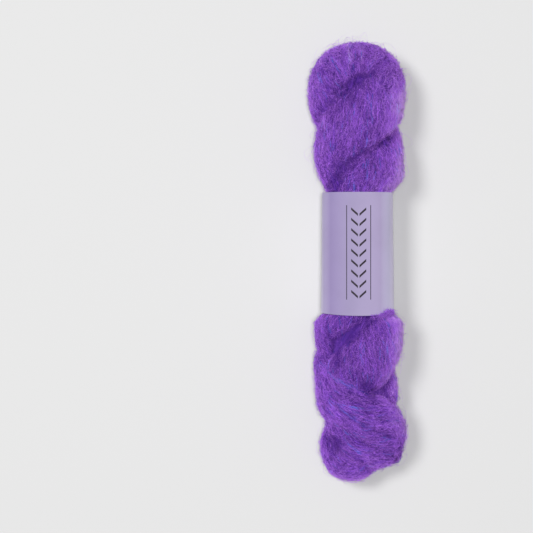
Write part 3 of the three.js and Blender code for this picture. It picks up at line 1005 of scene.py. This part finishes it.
def yarn_finish(name, dark, light, patchiness, grain, sheen):
    """Dyed fibre: a colour between dark and light by the tone from 0 to 1, which holds each hair's
    own tone with painted shade and painted light on it, and on towards the pale colour of thin
    fluff from 1 to 2, a painted glow as of light through it. It is patchy at the scale of a few
    strands and grainy at the scale of a few fibres, with a soft sheen."""
    finish = Finish(name)
    tone = finish.attribute("tone")
    patches = (finish.noise(170) - 0.5) * patchiness + (finish.noise(1500, 1.0) - 0.5) * grain
    blend = (tone + patches).most(0.0).least(1.0)
    pale = (tone - 1.0).most(0.0).least(1.0)
    finish.set(finish.shader, {
        "Base Color": finish.mix(pale, finish.mix(blend, dark, light), PALE_GLOW),
        "Roughness": 0.85,
        "Specular IOR Level": 0.2,
        "Sheen Weight": sheen,
        "Sheen Roughness": 0.5,
        "Sheen Tint": (0.8, 0.55, 1.0, 1),
    })
    return finish.material


# The pale colour of thin fluff that tones from 1 to 2 go over to: a painted glow, as of light
# through the fluff
PALE_GLOW = (0.85, 0.60, 0.98)
BODY_YARN = yarn_finish("body_yarn", (0.12, 0.035, 0.36), (0.26, 0.09, 0.62), 0.8, 0.5, 0.0)
STRAND_YARN = yarn_finish("strand_yarn", (0.16, 0.045, 0.46), (0.34, 0.11, 0.78), 0.8, 0.5, 0.0)
FIBRE_YARN = yarn_finish("fibre_yarn", (0.075, 0.010, 0.30), (0.56, 0.20, 1.0), 0.5, 1.9, 0.05)
THREAD_YARN = yarn_finish("thread_yarn", (0.035, 0.03, 0.36), (0.16, 0.20, 0.86), 0.5, 0.5, 0.0)


def band_finish():
    """Vellum paper with a printed row of stitches.

    The vellum takes its purple from the yarn behind it. Its tone runs from 0 at its left side to 1
    at its right: darker towards the left and lighter towards the right, and palest at both sides,
    where it stands off the yarn and is painted lighter still, a painted glow that makes up for the
    shade where its sides turn away from the light. A stitch is a V, a line where
    fract((y - slope |x|) / pitch) is near a half, between the inner and the outer distance from
    the row's middle, and a thin line runs down each side of the row.
    """
    pitch, slope, thick, inner, outer = 6.0, 0.9, 0.75, 0.45, 4.4
    row_low, row_high, line_off, line_thick, line_low, line_high = -24, 30, 7.0, 0.22, -22, 33
    finish = Finish("band_paper")
    tone = finish.attribute("tone")
    # Darker towards the left and lighter towards the right, with pale stops at both ends that are
    # painted glow on the paper's sides
    ramp = finish.node("ShaderNodeValToRGB", {"stops": [
        (0.0, (0.60, 0.56, 0.72)), (0.03, (0.396, 0.341, 0.54)), (0.12, (0.272, 0.22, 0.407)),
        (0.4, (0.29, 0.245, 0.41)), (0.8, (0.39, 0.33, 0.52)), (0.92, (0.56, 0.52, 0.73)),
        (0.97, (0.74, 0.68, 0.90)), (1.0, (0.78, 0.73, 0.92)),
    ]}, {"Fac": tone})
    mottle = 0.9 + finish.noise(75, 3.0) * 0.15 + finish.noise(2400) * 0.06
    vellum = finish.mix(1.0, ramp.outputs[0], mottle, "MULTIPLY")
    place = finish.node("ShaderNodeTexCoord").outputs["Object"]
    split = finish.node("ShaderNodeSeparateXYZ", {}, {0: place}).outputs
    x, y, z = (finish.value(split[k]) / MM for k in range(3))
    off = (x - (BAND_X + SHIFT[0])).absolute()
    height = y - off * slope
    leg = ((height / pitch).fraction() - 0.5).absolute() * pitch
    stitch = (leg < thick) * (off > inner) * (off < outer)
    stitch = stitch * (height > row_low) * (height < row_high)
    line = (off - line_off).absolute() < line_thick
    ink = stitch.most(line) * (z > BAND_Z) * (y > line_low) * (y < line_high)
    finish.set(finish.shader, {
        "Base Color": finish.mix(ink, vellum, (0.016, 0.010, 0.020)),
        "Roughness": 0.6,
        "Specular IOR Level": 0.25,
    })
    return finish.material


def paper_band():
    """The band: a strip of paper wrapped round the waist, its ends lapped underneath.

    Its middle line is the waist's superellipse, less fit, grown a little over the lap, wider
    at its lower edge and slightly buckled. The strip is a grid of the way round by the height,
    with an outer and an inner face and rims between. lapped is the lap's angle at each end,
    and rim the share of the height that the first and last rows take.
    """
    surface = Surface()
    around, tall, lapped, rim, fit = 140, 30, 0.32, 0.003, 0.3
    angle = np.linspace(-math.pi / 2 - lapped, 1.5 * math.pi + lapped, around)
    rise = np.append(np.append(0, np.linspace(rim, 1 - rim, tall - 2)), 1)
    angle, rise = np.meshgrid(angle, rise, indexing="ij")
    turn = (angle + math.pi / 2 + lapped) / (2 * math.pi + 2 * lapped)
    grown = 0.12 + 0.75 * ease(turn, 0.8, 1.0)
    full = fullness(angle, BAND_POWER)
    low, high = paper_edges(BAND_X + BAND_HALF_WIDE * full * np.cos(angle))
    y = low + (high - low) * rise
    flare = 0.6 * (0.5 - rise)
    buckle = 0.12 * np.sin(3 * angle + 5 * rise) * np.sin(math.pi * rise)

    def face(inward):
        wide = BAND_HALF_WIDE - fit + flare + grown + buckle - inward
        deep = BAND_HALF_DEEP - fit + grown + buckle - inward
        x = BAND_X + wide * full * np.cos(angle)
        z = BAND_Z + deep * full * np.sin(angle)
        return np.stack([x, y, z], -1)

    outer, inner = face(0.0), face(PAPER)
    points = np.concatenate([outer.reshape(-1, 3), inner.reshape(-1, 3)])
    # The tone, from the band's left side to its right, by which the ramp paints the sides palest
    # as painted glow
    share = (points[:, 0] - points[:, 0].min()) / np.ptp(points[:, 0])
    index = np.arange(around * tall).reshape(around, tall)
    under = index + around * tall

    def patch(a, b, c, d):
        return np.stack([a, b, c, d], -1).reshape(-1, 4)

    quads = np.concatenate([
        patch(index[:-1, :-1], index[:-1, 1:], index[1:, 1:], index[1:, :-1]),
        patch(under[:-1, :-1], under[1:, :-1], under[1:, 1:], under[:-1, 1:]),
        patch(index[:-1, 0], index[1:, 0], under[1:, 0], under[:-1, 0]),
        patch(index[:-1, -1], under[:-1, -1], under[1:, -1], index[1:, -1]),
        patch(index[0, :-1], under[0, :-1], under[0, 1:], index[0, 1:]),
        patch(index[-1, :-1], index[-1, 1:], under[-1, 1:], under[-1, :-1]),
    ])
    flat = np.stack([np.stack([0.02 + 0.96 * turn, start + 0.45 * rise], -1)
                     for start in (0.02, 0.53)]).reshape(-1, 2)
    surface.add(points, share, np.zeros((0, 3), int), quads, np.zeros((0, 2)), flat[quads])
    return surface


# The picture: its side and middle in pixels, where the part's x = 0 and y = 0 lie in it, and the
# size of a pixel and the camera's height in millimetres
PICTURE, PICTURE_MIDDLE, PART_ACROSS, PART_DOWN = 533, 266.5, 356.5, 262.5
PIXEL, CAMERA_HIGH, SENSOR = 0.59, 1250.0, 36


def camera():
    """A camera straight above the middle of the picture, in which a pixel has its size at the
    height of the hank's middle."""
    data = bpy.data.cameras.new("camera")
    data.sensor_width = SENSOR
    data.lens = SENSOR * (CAMERA_HIGH - MIDDLE) / (PICTURE * PIXEL)
    made = bpy.data.objects.new("camera", data)
    across, up = PICTURE_MIDDLE - PART_ACROSS, PART_DOWN - PICTURE_MIDDLE
    made.location = (np.array([across * PIXEL, up * PIXEL, CAMERA_HIGH]) + SHIFT) * MM
    bpy.context.scene.collection.objects.link(made)
    bpy.context.scene.camera = made


def floor():
    """A plain pale floor."""
    mesh = bpy.data.meshes.new("floor")
    mesh.from_pydata([(-3, -3, 0), (3, -3, 0), (3, 3, 0), (-3, 3, 0)], [], [(0, 1, 2, 3)])
    made = bpy.data.objects.new("floor", mesh)
    bpy.context.scene.collection.objects.link(made)
    finish = Finish("floor_paint")
    finish.set(finish.shader, {"Base Color": (0.65, 0.65, 0.65, 1), "Roughness": 1.0,
                               "Specular IOR Level": 0.0})
    mesh.materials.append(finish.material)


def light():
    """Soft light from the upper left, and a weaker one from above and all round."""
    scene = bpy.context.scene
    world = bpy.data.worlds.new("studio")
    world.use_nodes = True
    back = world.node_tree.nodes["Background"]
    back.inputs["Color"].default_value = (1, 1, 1, 1)
    back.inputs["Strength"].default_value = 0.15
    scene.world = world
    for name, place, size, power in (
        ("window", (-2.16, 1.08, 3.9), 1.5, 114.0),
        ("ceiling", (0.0, 0.0, 2.0), 0.35, 25.5),
    ):
        lamp = bpy.data.lights.new(name, "AREA")
        lamp.shape = "DISK"
        lamp.size = size
        lamp.energy = power
        made = bpy.data.objects.new(name, lamp)
        made.location = place
        made.rotation_euler = (-made.location).to_track_quat("-Z", "Y").to_euler()
        scene.collection.objects.link(made)
    scene.view_settings.view_transform = "Standard"


camera()
floor()
light()
body = body_of_yarn().piece("yarn_body", BODY_YARN, "yarn")
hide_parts("hank")
coat(2000, (22, 42), 8, (0.6, 0.85), (-2.0, -0.9), dive, 4, 0.07, 0.1, bury=1.5, margin=3,
     tone=(0.42, 0.2), weave=0.12).piece("yarn_strands", STRAND_YARN, "yarn")
coat(900, (10, 28), 6, (0.16, 0.28), (-0.9, 0.2), dive, 4, 0.16, 0.25, margin=2,
     tone=(0.4, 0.22), weave=0.1).piece("fine_strands", FIBRE_YARN, "yarn")
for number in (1, 2):
    fluff = coat(26000, (1.8, 7), 3, (0.07, 0.15), (-1.3, 0.4), fluff_rise, 3, 0.5, 0.5,
                 wild=0.15, tone=(0.5, 0.5), clump=2)
    fluff.piece(f"short_fluff_{number}", FIBRE_YARN, "yarn")
    fluff = coat(14000, (5, 14), 4, (0.04, 0.085), (-1.4, 0.5), fluff_rise, 3, 0.42, 0.5,
                 wild=0.08, tone=(0.48, 0.28), clump=4)
    fluff.piece(f"long_fluff_{number}", FIBRE_YARN, "yarn")
coat(2000, (12, 30), 8, (0.025, 0.04), (-0.6, 0.2), stray_rise, 3, 0.5, 1.2,
     tone=(0.8, 0.1), taper=0.2).piece("stray_hairs", FIBRE_YARN, "yarn")
coat(450, (3, 11), 8, (0.09, 0.16), (0.3, 0.8), dive, 4, 0.12, 0.3, bury=0.2, margin=2,
     tone=(0.4, 0.4), weave=0.15).piece("bare_threads", THREAD_YARN, "yarn")
coat(130, (3, 8), 8, (0.08, 0.14), (0.45, 1.0), dive, 4, 0.07, 0.15, bury=0.2, margin=1,
     tone=(0.75, 0.2), weave=0.12, lines=THREADS).piece("bright_threads", THREAD_YARN, "yarn")
spilt_fluff(1200).piece("spilt_fluff", FIBRE_YARN, "yarn")
band = paper_band().piece("paper_band", band_finish(), "band_paper")
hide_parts("band")
